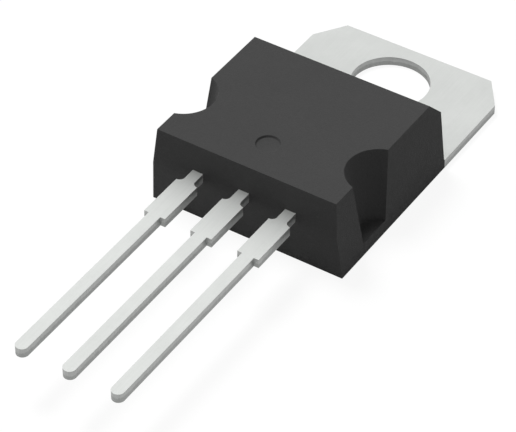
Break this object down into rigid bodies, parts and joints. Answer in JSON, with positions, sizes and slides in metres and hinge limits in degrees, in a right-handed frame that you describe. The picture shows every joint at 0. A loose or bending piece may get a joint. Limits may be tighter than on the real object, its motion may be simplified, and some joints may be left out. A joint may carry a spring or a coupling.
{
  "type": "power transistor",
  "caption": "Through-hole power transistor: black moulded body with side notches, a flat metal tab with a screw hole, and a row of flat leads.",
  "frame": {"origin": "centre of the screw hole, on the mounting face of the tab", "axes": "+Z out of the mounting face towards the moulded top, +Y towards the end of the tab, +X to the right seen from the leads' end with the top up; the leads point to -Y"},
  "size_m": [0.0106, 0.03, 0.0044],
  "materials": {
    "epoxy": "matte moulding compound with a fine spark-eroded grain",
    "tin_plate": "satin tin plate on copper sheet",
    "silicon": "polished",
    "solder": "dull solder",
    "bond_wire": "drawn wire"
  },
  "bodies": {
    "root": {"moulded_body": "epoxy", "tab_frame": "tin_plate", "left_lead": "tin_plate", "right_lead": "tin_plate", "silicon_die": "silicon", "die_solder": "solder", "left_wire": "bond_wire", "right_wire_inner": "bond_wire", "right_wire_outer": "bond_wire"}
  },
  "joints": []
}
